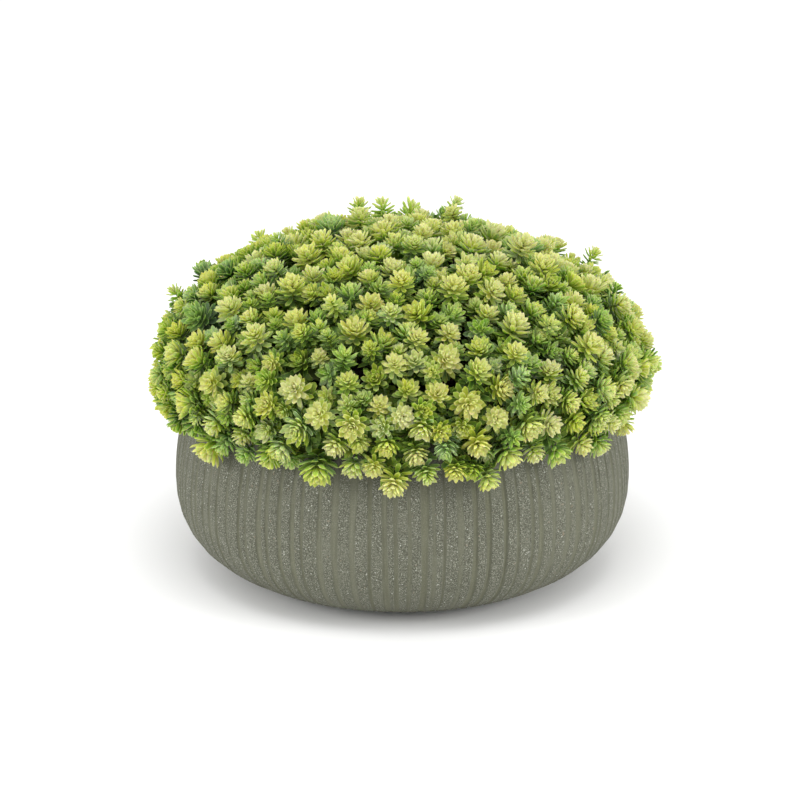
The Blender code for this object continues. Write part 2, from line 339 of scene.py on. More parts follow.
def bowl_radius(height):
    """Radius of the bowl's outside at a height, over the ribs."""
    if height >= BOWL_WAIST:
        rise = (height - BOWL_WAIST) / (BOWL_HEIGHT - BOWL_WAIST)
        return BOWL_RADIUS - (BOWL_RADIUS - RIM_RADIUS) * rise ** 2
    drop = (BOWL_WAIST - height) / BOWL_WAIST
    swell = (1 - drop ** BELLY_POWER) ** (1 / BELLY_ROUNDING)
    return FOOT_RADIUS + (BOWL_RADIUS - FOOT_RADIUS) * swell


print("bowl radius at the rim, waist and foot:", bowl_radius(BOWL_HEIGHT), BOWL_RADIUS, FOOT_RADIUS)

# %% Ribs and grooves
RIB_COUNT = 100
GROOVE_DEPTH = 0.0012
GROOVE_WIDTHS = (0.14, 0.46)
GROOVE_DEPTHS = (0.35, 1.0)
RIB_UNEVENNESS = 0.36
GROOVE_WANDER = 0.10
GROOVE_BEVEL = 0.0011
# Place of the dark line of painted shade beside a groove's edge, and how faint it is on one side
EDGE_SHADE_INSET = 0.4
FAINT_EDGE_SHADE = 0.45
GROOVE_SEED = 41
ribs_rng = np.random.default_rng(GROOVE_SEED)


def draw_grooves():
    """Angle, width and depth of each groove, and how it wanders on its way down."""
    pitches = 1 + ribs_rng.uniform(-RIB_UNEVENNESS, RIB_UNEVENNESS, RIB_COUNT)
    pitches *= 2 * math.pi / pitches.sum()
    widths = pitches * ribs_rng.uniform(*GROOVE_WIDTHS, RIB_COUNT)
    depths = ribs_rng.uniform(*GROOVE_DEPTHS, RIB_COUNT)
    phases = ribs_rng.uniform(0, 2 * math.pi, (3, RIB_COUNT))
    return np.cumsum(pitches), widths, depths, phases


def rib_height(angles, level, grooves):
    """For a ring of angles at a level from 0 to 1: 1 on a rib and less in a groove, and the painted shade
    line at a groove's edge.
    """
    middles, widths, depths, phases = grooves
    sway = np.sin(phases[0] + 5 * level) + 0.5 * np.sin(phases[1] + 13 * level)
    place = middles + GROOVE_WANDER * widths.mean() * sway
    away = (angles[:, None] - place[None] + math.pi) % (2 * math.pi) - math.pi
    half = widths / 2 * (1 + 0.2 * np.sin(phases[2] + 9 * level))
    nearest = np.abs(away).argmin(axis=1)
    rows = np.arange(len(angles))
    offset = away[rows, nearest]
    beyond = (np.abs(offset) - half[nearest]) * BOWL_RADIUS / GROOVE_BEVEL
    rise = np.clip(beyond + 0.5, 0, 1)
    rise = rise * rise * (3 - 2 * rise)
    # A dark line of painted shade beside the groove's edge, fainter on one side
    edge_shade = np.clip(1 - np.abs(beyond + EDGE_SHADE_INSET), 0, 1)
    fainter = offset * np.sin(phases[1][nearest]) > 0
    return 1 - (1 - rise) * depths[nearest], edge_shade * np.where(fainter, FAINT_EDGE_SHADE, 1.0)


grooves = draw_grooves()
print("grooves:", RIB_COUNT, "from", round(grooves[1].min() * BOWL_RADIUS * 1000, 1), "mm wide")

# %% Build the bowl
COLUMNS = 1500
OUTER_RINGS = 20
INNER_RINGS = 4
LIP_RINGS = 4
LIP_HEIGHT = 0.003
CAVITY_FLOOR = 0.014
CAVITY_TOP = 0.1394
CAVITY_CORNER = 0.002
# Radii of the inner floor's rings, as shares of the floor's, and the flat share of the foot
FLOOR_RINGS = (0.02, 0.9)
FOOT_FLAT = 0.93


def bowl_levels():
    """Heights of the outer rings, closer together where the belly turns in to the foot."""
    turn = np.linspace(0, math.pi / 2, OUTER_RINGS // 2)
    belly = BOWL_WAIST * (1 - np.sin(turn))
    shoulder = np.linspace(BOWL_HEIGHT - LIP_HEIGHT, BOWL_WAIST, OUTER_RINGS // 2, endpoint=False)
    return np.concatenate([shoulder, belly])


def build_bowl(finish):
    angles, circle = circle_of(COLUMNS)
    rows, ribs, edge_shades = [], [], []

    def add_ring(radius, height, rib=1.0, edge_shade=0.0):
        rib = np.broadcast_to(rib, COLUMNS)
        radii = radius - GROOVE_DEPTH * (1 - rib)
        rows.append(np.column_stack([circle * radii[:, None], np.full(COLUMNS, height)]))
        ribs.append(rib)
        edge_shades.append(np.broadcast_to(edge_shade, COLUMNS))

    floor_radius = bowl_radius(CAVITY_FLOOR) - RIM_WALL
    inner = [(floor_radius * share, CAVITY_FLOOR) for share in FLOOR_RINGS]
    for height in np.linspace(CAVITY_FLOOR + CAVITY_CORNER, BOWL_HEIGHT - LIP_HEIGHT, INNER_RINGS):
        inner.append((bowl_radius(height) - RIM_WALL, height))
    for radius, height in inner:
        add_ring(radius, height)
    middle = bowl_radius(BOWL_HEIGHT - LIP_HEIGHT) - RIM_WALL / 2
    for turn in np.linspace(math.pi, 0, LIP_RINGS + 2)[1:-1]:
        rib = 1 - (1 - rib_height(angles, 1.0, grooves)[0]) * max(0.0, math.cos(turn))
        height = BOWL_HEIGHT - LIP_HEIGHT * (1 - math.sin(turn))
        add_ring(middle + RIM_WALL / 2 * math.cos(turn), height, rib)
    for height in bowl_levels():
        add_ring(bowl_radius(height), height, *rib_height(angles, height / BOWL_HEIGHT, grooves))
    add_ring(FOOT_RADIUS * FOOT_FLAT, 0.0)
    return ring_piece("bowl", rows, finish, {"rib": np.concatenate(ribs), "edge_shade": np.concatenate(edge_shades)})


# %% [markdown]
# ## Stoneware finish
#
# The clay is a matt sage grey. In the grooves it is smooth and a little more olive. The ribs carry
# grit: dark and light grains under a millimetre across, and here and there a bright or a warm brown
# one. Noise at the size of the grains gives both the speckle and the fine relief, and the rib value
# that was stored with the points keeps most of it out of the grooves. Fine comb lines run down the
# wall, and a broken dark line of painted shade marks a groove's edge.

# %% Stoneware
GROOVE_CLAY = (0.138, 0.140, 0.092)
# Colour of the painted shade line beside a groove's edge
EDGE_SHADE_CLAY = (0.088, 0.090, 0.061)
RIB_CLAY = (0.146, 0.149, 0.112)
CLOUD_CLAY = (0.125, 0.124, 0.092)
DARK_GRAIN = (0.062, 0.064, 0.045)
PALE_GRAIN = (0.41, 0.42, 0.35)
BRIGHT_GRAIN = (0.55, 0.56, 0.50)
COMB_LINES = 210
COMB_RUN = 0.2
WARM_GRAIN = (0.30, 0.23, 0.16)


def comb_lines(finish):
    """Fine upright lines: noise on the direction out from the bowl's axis, stretched along its height."""
    outward = finish.vector("NORMALIZE", finish.vector("MULTIPLY", finish.position(), (1.0, 1.0, 0.0)))
    along = finish.vector("MULTIPLY", finish.position(), (0.0, 0.0, COMB_RUN))
    inputs = {"Vector": finish.vector("ADD", outward, along), "Scale": COMB_LINES, "Detail": 2.0}
    return finish.node("TexNoise", inputs)


def stoneware():
    finish = Finish("gritty_stoneware", {"Roughness": 0.85, "Specular IOR Level": 0.2})
    rib = finish.attribute("rib")
    patches = finish.noise(36, detail=4, roughness=0.6)
    grit = finish.between(rib + 1.5 * (patches - 0.5), 0.62, 1.0)
    grain = finish.noise(1300, detail=2, roughness=0.8)
    coarse = finish.noise(900, detail=1)
    cloud = finish.noise(13, detail=4)
    cells = {"Vector": finish.position(), "Scale": 820.0}
    spot = finish.node("TexVoronoi", cells, output="Distance")
    draw = finish.node("TexVoronoi", cells, output="Color")
    colour = finish.mix(rib, GROOVE_CLAY, RIB_CLAY)
    colour = finish.mix(finish.between(cloud, 0.3, 0.7) * 0.22, colour, CLOUD_CLAY)
    dark = finish.between(0.58 - grain, 0.0, 0.14) * (0.28 + 0.58 * grit)
    colour = finish.mix(dark, colour, DARK_GRAIN)
    pale = finish.between(grain + 0.25 * (coarse - 0.5), 0.53, 0.66) * (0.08 + 0.46 * grit)
    colour = finish.mix(pale, colour, PALE_GRAIN)
    rare = finish.between(draw, 0.88, 0.91) * finish.between(0.48 - spot, 0.0, 0.1)
    colour = finish.mix(rare * grit * 0.7, colour, BRIGHT_GRAIN)
    comb = comb_lines(finish)
    colour = finish.mix(finish.between(comb, 0.50, 0.66) * 0.05, colour, PALE_GRAIN)
    colour = finish.mix(finish.between(0.5 - comb, 0.0, 0.16) * 0.12, colour, DARK_GRAIN)
    warm = finish.between(finish.noise(330, detail=1), 0.72, 0.78) * grit
    colour = finish.mix(warm * 0.4, colour, WARM_GRAIN)
    # Painted shade: a broken dark line beside each groove's edge
    streak = finish.between(finish.noise(60, detail=3), 0.42, 0.60)
    colour = finish.mix(finish.attribute("edge_shade") * (0.25 + 0.5 * streak), colour, EDGE_SHADE_CLAY)
    finish.set("Base Color", colour)
    relief = grain * (0.15 + 0.85 * grit) + 0.25 * coarse + 0.10 * comb
    finish.bump(relief, 0.0006, strength=0.7)
    return finish


bowl = build_bowl(stoneware())
stand_in(bowl, "ribbed_bowl")
print("bowl:", len(bowl.data.polygons), "faces")

# %% [markdown]
# ## Soil
#
# Peat fills the bowl to just below the rim, heaped a little in the middle. It is hidden under the
# leaves, but whoever parts them should find real crumbs: a disc of rings, roughened by noise at two
# scales, over plain sides and a floor.

# %% Soil
SOIL_BELOW_RIM = 0.013
SOIL_CROWN = 0.008
SOIL_GAP = 0.0003
SOIL_RINGS = 26
SOIL_SPOKES = 96
SOIL_CENTRE = 0.001
SOIL_SIDE_RINGS = 6
SOIL_SIDE = (CAVITY_TOP - 0.004, CAVITY_FLOOR + 0.003)
SOIL_FOOT = 0.97
CRUMB_HEIGHT = 0.0022
# Scale and share of the clods, and of the grains on them
CRUMBS = ((90, 0.3), (420, 0.2))
PEAT = (0.012, 0.008, 0.005)
PALE_PEAT = (0.060, 0.040, 0.026)
FIBRE = (0.115, 0.082, 0.050)


def soil_edge():
    return bowl_radius(BOWL_HEIGHT - SOIL_BELOW_RIM) - RIM_WALL - SOIL_GAP


def soil_height(radius):
    """Height of the soil, heaped a little in the middle."""
    edge = BOWL_HEIGHT - SOIL_BELOW_RIM
    return edge + SOIL_CROWN * (1 - (radius / soil_edge()) ** 2)


def crumbs(point):
    """Roughness from 0 to 1 of the soil at a point."""
    return 0.5 + sum(share * noise.noise(point * scale) for scale, share in CRUMBS)


def build_soil(finish):
    circle = circle_of(SOIL_SPOKES)[1]
    rings = []
    for radius in np.linspace(SOIL_CENTRE, soil_edge(), SOIL_RINGS):
        level = soil_height(radius) - CRUMB_HEIGHT
        flat = np.column_stack([circle * radius, np.full(SOIL_SPOKES, level)])
        flat[:, 2] += [CRUMB_HEIGHT * crumbs(Vector(point)) for point in flat]
        rings.append(flat)
    for height in np.linspace(*SOIL_SIDE, SOIL_SIDE_RINGS):
        radius = bowl_radius(height) - RIM_WALL - 2 * SOIL_GAP
        rings.append(np.column_stack([circle * radius, np.full(SOIL_SPOKES, height)]))
    rings.append(rings[-1] * (SOIL_FOOT, SOIL_FOOT, 0.0) + (0, 0, CAVITY_FLOOR + SOIL_GAP))
    return ring_piece("soil", rings, finish)


def peat():
    finish = Finish("peat", {"Roughness": 0.95, "Specular IOR Level": 0.2})
    crumb = finish.noise(350, detail=4, roughness=0.65)
    fibre = finish.noise(70, detail=3)
    colour = finish.mix(finish.between(crumb, 0.35, 0.65), PEAT, PALE_PEAT)
    colour = finish.mix(finish.between(fibre, 0.58, 0.70) * 0.5, colour, FIBRE)
    finish.set("Base Color", colour)
    finish.bump(crumb, 0.0010)
    return finish


soil = build_soil(peat())
stand_in(soil, "potting_soil")
print("soil:", len(soil.data.polygons), "faces")

# %% [markdown]
# ## Where the heads stand
#
# Each head of leaves stands where the solid model has one, so the rule that placed them there is
# repeated here word for word, with the same seed and the same order of random draws. The heads are
# spaced over a flattened dome like seeds on a sunflower, those at the skirt hang down over the rim
# in lobes, a few stand above the rest as tall sprigs, and each belongs to the spray whose patch of
# the cushion it is nearest to.

# %% The cushion
SEED = 35
GOLDEN_ANGLE = math.pi * (3 - math.sqrt(5))
RIB_DRAWS = 160
RIB_WANDER = 0.22
CUSHION_RADIUS = 0.191
CUSHION_RISE = 0.104
CUSHION_MIDDLE = 0.156
SKIRT_HEIGHT = 0.118
CUSHION_STEPS = 600


def meridian_length(polar):
    """Metres of cushion for each radian of polar angle."""
    return np.sqrt((CUSHION_RADIUS * np.cos(polar)) ** 2 + (CUSHION_RISE * np.sin(polar)) ** 2)


def cushion_point(polar, azimuth):
    across = CUSHION_RADIUS * math.sin(polar)
    height = CUSHION_MIDDLE + CUSHION_RISE * math.cos(polar)
    return Vector((across * math.cos(azimuth), across * math.sin(azimuth), height))


def cushion_normal(polar, azimuth):
    across = math.sin(polar) / CUSHION_RADIUS
    upward = math.cos(polar) / CUSHION_RISE
    return Vector((across * math.cos(azimuth), across * math.sin(azimuth), upward)).normalized()


def cushion_tables():
    """Polar angles, with the share of the cushion's area and the distance over it above each."""
    skirt = math.acos((SKIRT_HEIGHT - CUSHION_MIDDLE) / CUSHION_RISE)
    polar = np.linspace(0, skirt, CUSHION_STEPS)
    step = polar[1]
    area = np.cumsum(np.sin(polar) * meridian_length(polar))
    distance = np.cumsum(meridian_length(polar)) * step
    return polar, area / area[-1], distance - distance[0]


print("cushion from", SKIRT_HEIGHT, "to", CUSHION_MIDDLE + CUSHION_RISE, "m")

# %% Heads
HEAD_COUNT = 278
HEAD_RADIUS = 0.0128
HEAD_SPREAD = 0.16
HEAD_HEIGHT = 1.65
HEAD_SHARE_OF_SPACE = 0.53
HEAD_SHIFT = 0.0042
HEAD_LIFT = 0.0045
HEAD_TILT = 0.28
HEAD_OFF_BOWL = 0.0125
DROOP = 0.75
DROOP_FROM = math.radians(70)
# The skirt's edge hangs in lobes: lobes in a turn, metres and turn of each wave
SKIRT_WAVES = ((5, 0.0040, 3.35), (9, 0.0035, 5.65), (14, 0.0035, 5.66))
# Azimuth and polar angle of the sprigs that stand above the rest
SPRIG_PLACES = (
    (111, 34), (99, 30), (81, 33), (67, 33), (25, 58), (172, 70),
    (133, 62), (52, 68), (93, 74), (240, 40), (318, 52),
)
SPRIG_LIFT = 0.011
SPRIG_SIZE = 0.78


@dataclass
class Head:
    """One head of leaves: its top, the way it points, its radius and its turn about its axis."""

    tip: Vector
    axis: Vector
    size: float
    turn: float
    tall: bool = False

    def point_below(self, distance):
        return self.tip - self.axis * (HEAD_HEIGHT * self.size + distance)


def droop(polar):
    """How far the heads of the skirt hang their tips, from none above it to the most at its edge."""
    skirt = cushion_tables()[0][-1]
    return DROOP * max(0.0, (polar - DROOP_FROM) / (skirt - DROOP_FROM))


def keep_off_bowl(point, clearance):
    """Push a point that hangs beside the bowl out from its wall."""
    if point.z > BOWL_HEIGHT + clearance:
        return point
    radius = point.to_2d().length
    wanted = bowl_radius(min(point.z, BOWL_HEIGHT)) + clearance
    if radius >= wanted:
        return point
    return Vector((point.x * wanted / radius, point.y * wanted / radius, point.z))


def skirt_hang(polar, azimuth):
    """How much lower than the cushion a head of the skirt hangs, in the lobe it is in."""
    share = droop(polar) / DROOP
    return share * sum(height * math.sin(lobes * azimuth + turn) for lobes, height, turn in SKIRT_WAVES)


def choose_sprigs(heads):
    """The heads nearest to the places where sprigs stand above the cushion."""
    places = [cushion_point(math.radians(polar), math.radians(azimuth)) for azimuth, polar in SPRIG_PLACES]
    return [min(heads, key=lambda head: (head.tip - place).length) for place in places]


def place_heads(rng):
    polar_table, area_table, _ = cushion_tables()
    heads = []
    for index in range(HEAD_COUNT):
        polar = float(np.interp((index + 0.5) / HEAD_COUNT, area_table, polar_table))
        shift = rng.uniform(-HEAD_SHIFT, HEAD_SHIFT, 2)
        azimuth = index * GOLDEN_ANGLE + shift[0] / (CUSHION_RADIUS * math.sin(polar))
        polar = polar + shift[1] / float(meridian_length(polar))
        normal = cushion_normal(polar, azimuth)
        lift = rng.uniform(-HEAD_LIFT, HEAD_LIFT)
        lean = Vector(rng.uniform(-HEAD_TILT, HEAD_TILT, 3)) - Vector((0, 0, droop(polar)))
        tip = cushion_point(polar, azimuth) + lift * normal
        tip.z -= skirt_hang(polar, azimuth)
        size = HEAD_RADIUS * (1 + float(rng.uniform(-HEAD_SPREAD, HEAD_SPREAD)))
        head = Head(tip, (normal + lean).normalized(), size, float(rng.uniform(0, 2 * math.pi)))
        base = head.point_below(0)
        head.tip = tip + keep_off_bowl(base, HEAD_OFF_BOWL) - base
        heads.append(head)
    for sprig in choose_sprigs(heads):
        sprig.tip = sprig.tip + SPRIG_LIFT * Vector((0, 0, 1)).lerp(sprig.axis, 0.5)
        sprig.size *= SPRIG_SIZE
        sprig.tall = True
    return heads


def fit_heads(heads):
    """Make no head larger than its share of the space to its nearest neighbour."""
    middles = np.array([head.point_below(-head.size) for head in heads])
    apart = np.linalg.norm(middles[:, None] - middles[None], axis=2) + np.eye(len(heads))
    for head, space in zip(heads, apart.min(axis=1)):
        head.size = min(head.size, float(space) * HEAD_SHARE_OF_SPACE)


# The first draws of the seed are those of the solid bowl's ribs
rng = np.random.default_rng(SEED)
rng.uniform(-RIB_WANDER, RIB_WANDER, RIB_DRAWS)
heads = place_heads(rng)
fit_heads(heads)
print("heads:", len(heads), "median radius", round(float(np.median([head.size for head in heads])), 4))

# %% Sprays
SPRAY_ROWS = ((0.0, 1), (0.074, 6), (0.147, 12), (0.220, 17))
FORK_DEPTH = 0.056
FORK_LOWEST = 0.180
NECK_BORDER = 0.0075
CORE_BELOW_HEAD = 0.008
CORE_OUTSET = 0.016
CORE_BORDER = 0.0015
CORE_OFF_BOWL = 0.010


@dataclass
class Spray:
    """The heads over one patch of cushion, and the fork where the stem below them branches."""

    patch: Vector
    fork: Vector
    heads: list
    corners: list

    def middle(self):
        return sum(self.corners, Vector()) / len(self.corners)


def place_patches():
    """The middle of each spray's patch of cushion, and the fork below it where its stem branches."""
    polar_table, _, distance_table = cushion_tables()
    places = []
    for row, (distance, count) in enumerate(SPRAY_ROWS):
        polar = float(np.interp(distance, distance_table, polar_table))
        for index in range(count):
            azimuth = 2 * math.pi * index / count + row * GOLDEN_ANGLE
            patch = cushion_point(polar, azimuth)
            fork = patch - FORK_DEPTH * cushion_normal(polar, azimuth)
            fork.z = max(fork.z, FORK_LOWEST)
            places.append((patch, fork))
    return places


def keep_in_cell(point, patch, patches, border):
    """Pull a point back to its own side of the planes halfway to the other sprays' patches."""
    for other in patches:
        if other is patch:
            continue
        away = (other - patch).normalized()
        over = (point - (patch + other) / 2).dot(away) + border
        if over > 0:
            point = point - over * away
    return point


def core_corner(head, spray, patches):
    """A point below a head and out towards the patch's edge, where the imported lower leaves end."""
    middle_line = (spray.patch - spray.fork).normalized()
    below = head.point_below(CORE_BELOW_HEAD)
    sideways = (below - spray.fork) - (below - spray.fork).dot(middle_line) * middle_line
    corner = below + sideways.normalized() * CORE_OUTSET
    return keep_off_bowl(keep_in_cell(corner, spray.patch, patches, CORE_BORDER), CORE_OFF_BOWL)


def make_sprays(heads):
    places = place_patches()
    patches = [patch for patch, _ in places]
    sprays = [Spray(patch, fork, [], [fork]) for patch, fork in places]
    for head in heads:
        spray = min(sprays, key=lambda one: (one.patch - head.tip).length)
        base = keep_in_cell(head.point_below(0), spray.patch, patches, NECK_BORDER)
        head.axis = (head.tip - base).normalized()
        spray.heads.append(head)
        spray.corners.append(core_corner(head, spray, patches))
    return sprays


sprays = make_sprays(heads)
head_counts = [len(spray.heads) for spray in sprays]
print("sprays:", len(sprays), "with", min(head_counts), "to", max(head_counts), "heads")

# %% [markdown]
# ## One leaf
#
# A stonecrop leaf is thick and spoon-shaped: a narrow foot, widest past its middle, a short point.
# Its upper side is slightly troughed, its underside has a keel, and it arches away from the stem.
#
# Every leaf is the same small cage of points, laid along a bent middle line. A station is a place
# along the line, and at each of the three stations a ring of four points goes round the leaf, with
# one more point at its tip. All leaves of a spray are worked out in one go, as arrays with a row
# for each leaf.

# %% Leaf cage
STATIONS = np.array([0.0, 0.42, 0.83])
LINE_STEPS = 24
WIDEST = 0.66
FOOT_WIDTH = 0.38
# Each point round a leaf: how far across, and how far through its thickness
LEAF_RING = ((-1.0, 0.0), (0.0, 0.34), (1.0, 0.0), (0.0, -0.62))


def leaf_width(along):
    """Half width at a share of the length, where the widest place is 1."""
    swell = FOOT_WIDTH + (1 - FOOT_WIDTH) * np.sin(np.clip(along / WIDEST, 0, 1) * math.pi / 2) ** 1.5
    point = np.clip((along - WIDEST) / (1 - WIDEST), 0, 1)
    return swell * (1 - point ** 2.0) ** 0.65


def leaf_faces():
    """Triangles of one leaf: its sides, its point and its foot."""
    count = len(LEAF_RING)
    sides = grid_faces(len(STATIONS), count)
    split = [face[[0, 1, 2]] for face in sides] + [face[[0, 2, 3]] for face in sides]
    last = (len(STATIONS) - 1) * count
    point = len(STATIONS) * count
    split += [np.array([last + i, last + (i + 1) % count, point]) for i in range(count)]
    split += [np.array([0, i + 1, i]) for i in range(1, count - 1)]
    return np.array(split)


print("triangles in a leaf:", len(leaf_faces()))

# %% Leaves from arrays
LEAF_LOOKS = ("tint", "cool", "pale")
LEAF_FIELDS = ("foot", "out", "up", "rise", "bend", "length", "width", "thick", "cup", "sway", *LEAF_LOOKS)


def empty_leaves():
    return {name: [] for name in LEAF_FIELDS}


def add_leaf(leaves, **values):
    for name in LEAF_FIELDS:
        leaves[name].append(values[name])


def unit(vectors):
    return vectors / np.linalg.norm(vectors, axis=-1, keepdims=True)


def leaf_points(leaves):
    """Points (leaf, point, 3) and their values: along, across, under and the looks."""
    data = {name: np.array(numbers, float) for name, numbers in leaves.items()}
    up = unit(data["up"])
    out = unit(data["out"] - (data["out"] * up).sum(-1, keepdims=True) * up)
    side = np.cross(up, out)
    steps = np.linspace(0, 1, LINE_STEPS + 1)
    angle = data["rise"][:, None] + data["bend"][:, None] * steps ** 1.3
    middle = (angle[:, 1:] + angle[:, :-1]) / 2
    reach = np.concatenate([np.zeros((len(up), 1)), np.cumsum(np.cos(middle), 1)], 1) / LINE_STEPS
    climb = np.concatenate([np.zeros((len(up), 1)), np.cumsum(np.sin(middle), 1)], 1) / LINE_STEPS
    stations = np.append(STATIONS, 1.0)
    places = np.rint(stations * LINE_STEPS).astype(int)
    length = data["length"][:, None]
    along_out = (reach[:, places] * length)[..., None] * out[:, None]
    along_up = (climb[:, places] * length)[..., None] * up[:, None]
    drift = (data["sway"][:, None] * stations ** 2 * length)[..., None] * side[:, None]
    line = data["foot"][:, None] + along_out + along_up + drift
    tilt = angle[:, places]
    face = np.cos(tilt)[..., None] * up[:, None] - np.sin(tilt)[..., None] * out[:, None]
    half = data["width"][:, None] * leaf_width(stations)[None]
    thick = data["thick"][:, None] * (0.45 + 0.55 * leaf_width(stations)[None])
    rows = []
    for across, through in LEAF_RING:
        lift = through * thick + abs(across) ** 1.6 * data["cup"][:, None] * half
        rows.append(line + (across * half)[..., None] * side[:, None] + lift[..., None] * face)
    rings = np.stack(rows, 2)[:, :-1]
    points = np.concatenate([rings.reshape(len(up), -1, 3), line[:, -1:]], 1)
    along = np.append(np.repeat(STATIONS, len(LEAF_RING)), 1.0)
    across = np.append(np.tile([place for place, _ in LEAF_RING], len(STATIONS)), 0.0)
    under = np.append(np.tile([float(through < 0) for _, through in LEAF_RING], len(STATIONS)), 0.0)
    ones = np.ones((len(up), 1))
    values = {"along": ones * along, "across": ones * across, "under": ones * under}
    for name in LEAF_LOOKS:
        values[name] = np.repeat(data[name][:, None], points.shape[1], 1)
    return points, values


print("leaf points are ready")

# %% [markdown]
# ## One head
#
# A head is a stack of whorls on a short stem. The lowest leaves are the longest and spread wide,
# those above are shorter and steeper, each whorl stands over the gaps of the one below, and the
# top closes in a bud. The lower leaves are a cool green and each whorl above is warmer and paler, up
# to lime yellow. A tall sprig has fewer whorls, further apart. Heads also differ in how far they
# open and in how much pale bloom they carry.

# %% Head
# Each whorl: height of its foot and radius its tips reach, in head radii, rise and bend in degrees,
# half width in head radii, and tint
WHORLS = (
    (0.00, 1.00, -20, 32, 0.160, 0.29),
    (0.28, 1.06, -12, 38, 0.176, 0.42),
    (0.52, 1.00, -4, 48, 0.190, 0.60),
    (0.72, 0.86, 6, 58, 0.194, 0.80),
    (0.88, 0.71, 16, 60, 0.186, 0.89),
    (1.02, 0.55, 26, 60, 0.168, 0.93),
    (1.15, 0.38, 40, 50, 0.142, 0.95),
    (1.26, 0.22, 58, 32, 0.112, 0.97),
)
WHORL_SIZES = (5, 6, 7, 7, 7, 6, 5, 3)
SPRIG_WHORLS = (WHORLS[2:], (6, 7, 6, 5, 4, 3))
# A tall sprig: its whorls stand apart on a longer stem
TALL_WHORLS = (
    (-0.60, 0.84, -8, 30, 0.150, 0.48),
    (-0.20, 0.92, -4, 34, 0.160, 0.56),
    (0.20, 0.96, 2, 38, 0.168, 0.64),
    (0.54, 0.90, 10, 42, 0.170, 0.72),
    (0.82, 0.72, 20, 44, 0.158, 0.80),
    (1.06, 0.50, 36, 40, 0.136, 0.88),
    (1.24, 0.28, 56, 26, 0.108, 0.94),
)
TALL_SIZES = (6, 7, 7, 7, 6, 5, 4)
STEM_SHARE = 0.085
FOOT_IN_STEM = 0.6
LEAF_THICK = 0.075
OPENING = 15
UPPER_WHORL = 4
UPPER_OPENING = 0.5
MEAN_BEND = 0.45
EXTRA_LEAF_CHANCE = 0.3
EXTRA_LEAF_WHORLS = (1, 2)
COOL_AT_FOOT = 1.55
COOL_BELOW = 0.86
LOOK_SEED = 77
look_rng = np.random.default_rng(LOOK_SEED)


def add_head(leaves, head, tint_shift, cool, whorls, sizes):
    """Add the leaves of one head, whorl by whorl."""
    turned = head.axis.to_track_quat("Z", "Y").to_matrix()
    base = head.point_below(0)
    up = head.axis
    openness = look_rng.uniform(-OPENING, OPENING)
    extra = int(look_rng.random() < EXTRA_LEAF_CHANCE)
    pale = look_rng.uniform(0, 1)
    for level, (foot, reach, rise, bend, width, tint) in enumerate(whorls):
        count = sizes[level] + (extra if level in EXTRA_LEAF_WHORLS else 0)
        leaf_cool = cool + COOL_AT_FOOT * (COOL_BELOW - tint)
        turn = head.turn + math.pi / count * level + look_rng.uniform(-0.1, 0.1)
        for index in range(count):
            angle = turn + 2 * math.pi * index / count + look_rng.uniform(-0.09, 0.09)
            out = turned @ Vector((math.cos(angle), math.sin(angle), 0.0))
            opened = openness * (1 if level < UPPER_WHORL else UPPER_OPENING)
            lift = rise + opened + look_rng.uniform(-7, 7)
            slope = math.radians(lift + bend * MEAN_BEND)
            length = reach * look_rng.uniform(0.90, 1.07) * head.size / max(0.25, math.cos(slope))
            length = min(length, (HEAD_HEIGHT - foot) * head.size / max(0.3, math.sin(max(slope, 0.2))))
            add_leaf(
                leaves,
                foot=base + up * (foot * head.size) + out * (STEM_SHARE * FOOT_IN_STEM * head.size),
                out=out, up=up, rise=math.radians(lift), bend=math.radians(bend + look_rng.uniform(-6, 6)),
                length=length, width=width * head.size * look_rng.uniform(0.93, 1.08),
                thick=LEAF_THICK * head.size, cup=look_rng.uniform(0.3, 0.55),
                sway=look_rng.uniform(-0.08, 0.08), tint=tint + tint_shift + look_rng.uniform(-0.04, 0.04),
                cool=leaf_cool + look_rng.uniform(-0.15, 0.15), pale=pale,
            )


print("whorls in a head:", len(WHORLS), "with", sum(WHORL_SIZES), "leaves or more")

# %% [markdown]
# ## Stalks
#
# Under each head a thin stalk runs down to the fork of its spray, and carries larger and cooler
# leaves in threes, darker partly as their own deeper green and partly as painted shade, which deepens
# node by node further down. They fill the inside of the cushion, as on the real plant, and so do the
# long leaves round the stems in its middle. A stalk is a tube along a curve: it leaves the fork along
# the spray, and meets the head along the head's axis.

# %% Stalks and stems
STALK_SIDES = 5
STALK_RINGS = 7
STALK_RADIUS = 0.0011
STEM_RADIUS = 0.0032
STEM_SINK = 0.5
STEM_DEPTH = 0.024
ROOT_REACH = 0.84
STALK_LEAF_STEP = 0.0036
STALK_LEAF_SPAN = 0.018
STALK_COOL = 0.6
STALK_LEAVES_AT_A_NODE = 3
# Where a stalk starts between the fork and the heads, and how far each end's direction reaches
STALK_START = 0.12
STALK_PULLS = (0.35, 0.45)
# Tint of the leaves at a stalk's top, darker partly as their own green and partly as painted shade,
# and how much darker each node below is painted, as shade deeper in the cushion
STALK_LEAF_TINT = 0.47
STALK_LEAF_SHADE_STEP = 0.018
STEM_LEAVES = 30
STEM_LEAF = 0.021
STEM_LEAF_SPAN = (0.38, 1.0)
STEM_LEAF_OFF_BOWL = 0.030
STEM_LEAF_TINTS = (0.18, 0.34)
STEM_LEAF_COOLS = (0.1, 0.6)
# Of each kind of lower leaf the ranges of rise and bend, in degrees, and of length and half width,
# in leaf sizes
STEM_LEAF_FORM = ((0, 40), (-40, 30), (0.8, 1.1), (0.18, 0.26))
STALK_LEAF_FORM = ((5, 50), (-55, 20), (0.72, 1.0), (0.18, 0.25))


def curve_point(ends, share):
    """Point of a cubic curve through its four controls."""
    a, b, c, d = ends
    rest = 1 - share
    return a * rest ** 3 + 3 * b * rest ** 2 * share + 3 * c * rest * share ** 2 + d * share ** 3


